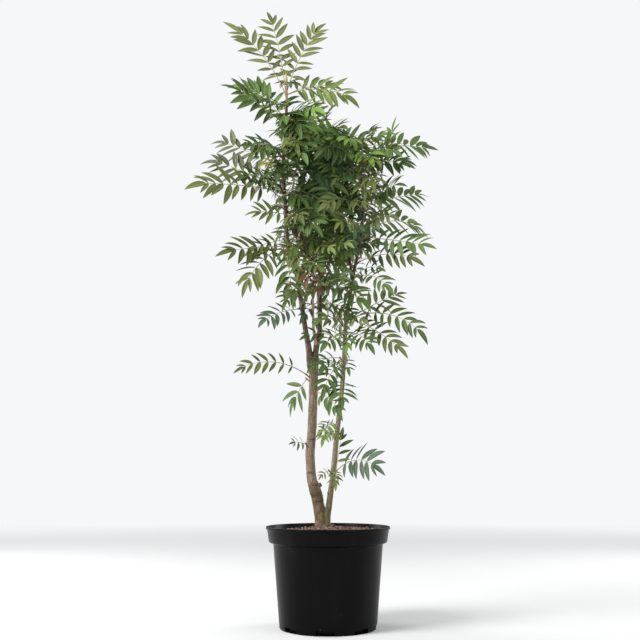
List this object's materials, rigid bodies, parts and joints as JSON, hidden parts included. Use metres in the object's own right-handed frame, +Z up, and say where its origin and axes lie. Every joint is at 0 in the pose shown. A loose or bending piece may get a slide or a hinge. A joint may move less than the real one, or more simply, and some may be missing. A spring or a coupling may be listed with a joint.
{
  "type": "young rowan tree in a nursery pot",
  "caption": "Young rowan tree with slender upright stems and feathery compound leaves, standing in a round black nursery pot of bark compost.",
  "frame": {"origin": "centre of the pot's flat underside", "axes": "+Z up along the stems, +X to the right and +Y to the back as the plant is seen from its front"},
  "size_m": [0.654, 0.4773, 1.6528],
  "materials": {
    "pot_plastic": "satin",
    "soil": "matte",
    "bark": "matte",
    "leaf": "satin"
  },
  "bodies": {
    "root": {"pot": "pot_plastic", "soil": "soil", "trunk_main": "bark", "leader_left": "bark", "leader_middle": "bark", "stem_right": "bark", "leader_right": "bark", "twig_inner": "bark", "shoot_between": "bark", "spray_top": "leaf", "spray_left_6": "leaf", "spray_left_5": "leaf", "spray_left_4": "leaf", "spray_left_3": "leaf", "spray_left_2": "leaf", "spray_left_1": "leaf", "spray_middle_top": "leaf", "spray_right_top": "leaf", "spray_right_6": "leaf", "spray_right_5": "leaf", "spray_right_4": "leaf", "spray_right_3": "leaf", "spray_right_2": "leaf", "spray_right_1": "leaf", "spray_low_5": "leaf", "spray_low_4": "leaf", "spray_low_3": "leaf", "spray_low_2": "leaf", "spray_low_1": "leaf", "spray_trunk_4": "leaf", "spray_trunk_3": "leaf", "spray_trunk_2": "leaf", "spray_trunk_1": "leaf", "foliage_middle_1": "leaf", "foliage_middle_2": "leaf", "foliage_middle_3": "leaf", "foliage_middle_4": "leaf", "foliage_middle_5": "leaf", "foliage_middle_6": "leaf", "foliage_middle_7": "leaf", "foliage_left_1": "leaf", "foliage_left_2": "leaf", "foliage_left_3": "leaf", "foliage_left_4": "leaf", "foliage_left_5": "leaf", "foliage_left_6": "leaf", "foliage_right_1": "leaf", "foliage_right_2": "leaf", "foliage_right_3": "leaf", "foliage_right_4": "leaf", "foliage_right_5": "leaf", "foliage_stem_1": "leaf", "foliage_stem_2": "leaf", "foliage_twig_1": "leaf", "foliage_twig_2": "leaf", "foliage_shoot_1": "leaf", "foliage_shoot_2": "leaf"}
  },
  "joints": []
}
